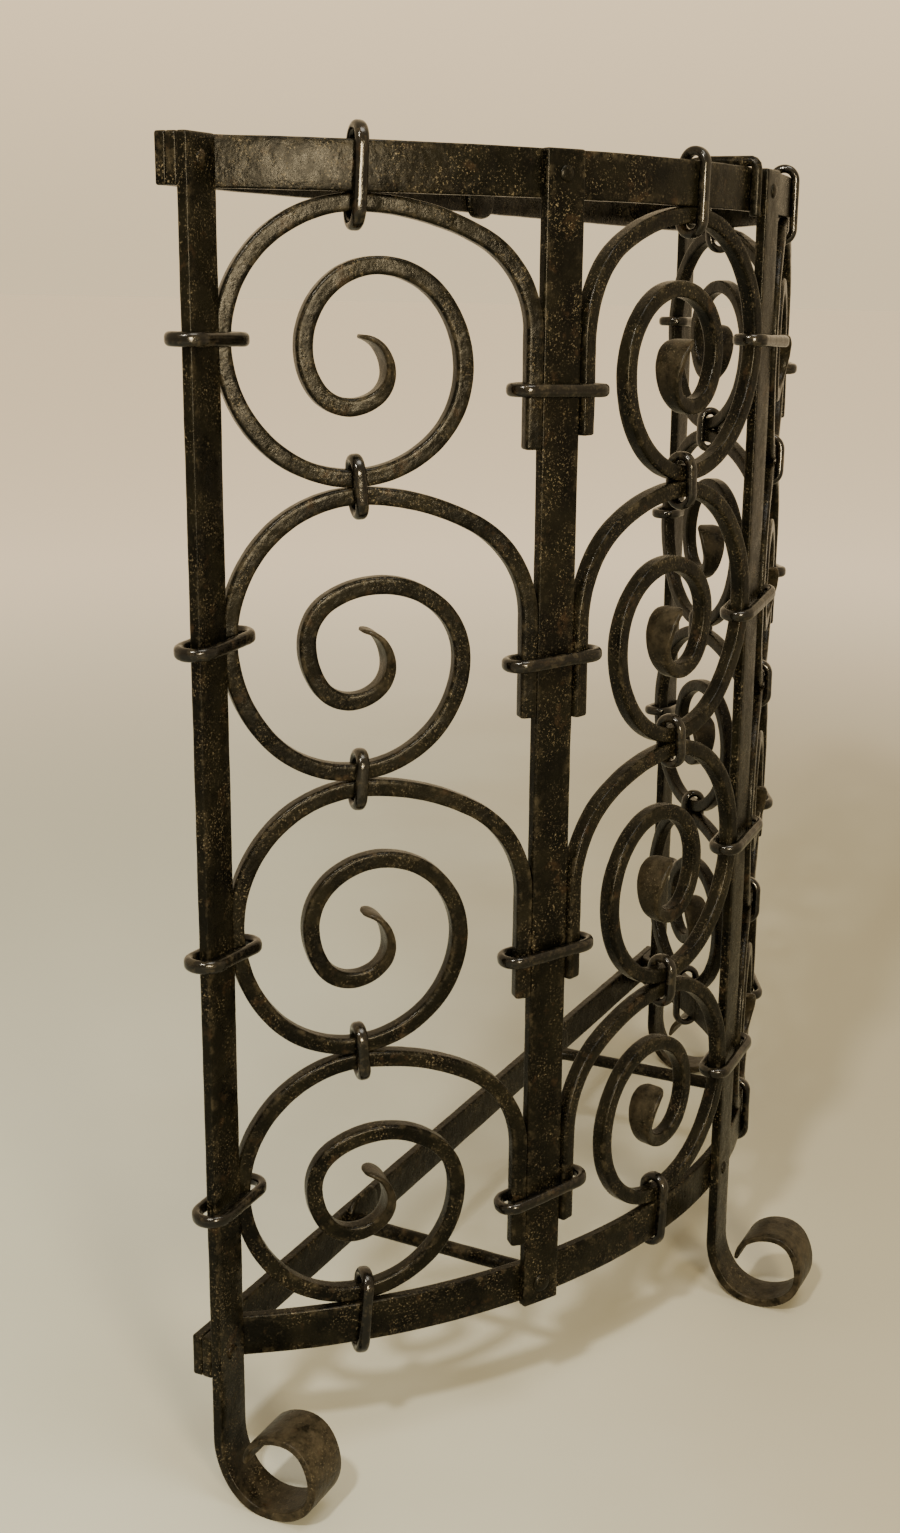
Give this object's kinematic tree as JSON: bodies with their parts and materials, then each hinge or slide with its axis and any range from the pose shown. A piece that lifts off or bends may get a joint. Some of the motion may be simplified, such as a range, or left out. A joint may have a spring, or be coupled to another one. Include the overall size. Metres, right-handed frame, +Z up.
{
  "type": "fireplace screen",
  "caption": "Bowed wrought-iron fire screen: flat bar posts with curled feet, stacked scrolls tied by collars between curved rails, and straight bars and braces behind.",
  "frame": {"origin": "middle of the footprint, on the floor", "axes": "+X along the straight back bars to the viewer's right as seen from the bow, -Y out of the bow towards the room, +Z up"},
  "size_m": [0.7444, 0.2646, 0.7753],
  "materials": {
    "flat_bar": "blackened wrought flat bar, waxed, with brown wear",
    "scroll_bar": "blackened hammered square bar, waxed, rubbed lighter on the edges",
    "collar_rod": "blackened round rod, darker and glossier than the bars",
    "rivet": "blackened hammered rivet heads",
    "brace_rod": "blackened round rod with flattened ends"
  },
  "bodies": {
    "root": {"post_left_end": "flat_bar", "collars_post_left_end": "collar_rod", "post_left_inner": "flat_bar", "collars_post_left_inner": "collar_rod", "post_centre": "flat_bar", "collars_post_centre": "collar_rod", "post_right_inner": "flat_bar", "collars_post_right_inner": "collar_rod", "post_right_end": "flat_bar", "collars_post_right_end": "collar_rod", "rail_curved_top": "flat_bar", "rail_curved_bottom": "flat_bar", "bar_back_top": "flat_bar", "bar_back_bottom": "flat_bar", "scroll_bay1_top": "scroll_bar", "scroll_bay1_upper": "scroll_bar", "scroll_bay1_lower": "scroll_bar", "scroll_bay1_bottom": "scroll_bar", "collars_bay1": "collar_rod", "scroll_bay2_top": "scroll_bar", "scroll_bay2_upper": "scroll_bar", "scroll_bay2_lower": "scroll_bar", "scroll_bay2_bottom": "scroll_bar", "collars_bay2": "collar_rod", "scroll_bay3_top": "scroll_bar", "scroll_bay3_upper": "scroll_bar", "scroll_bay3_lower": "scroll_bar", "scroll_bay3_bottom": "scroll_bar", "collars_bay3": "collar_rod", "scroll_bay4_top": "scroll_bar", "scroll_bay4_upper": "scroll_bar", "scroll_bay4_lower": "scroll_bar", "scroll_bay4_bottom": "scroll_bar", "collars_bay4": "collar_rod", "rivets_top": "rivet", "rivets_bottom": "rivet", "brace_bottom_left": "brace_rod", "brace_bottom_right": "brace_rod", "brace_top": "brace_rod"}
  },
  "joints": []
}
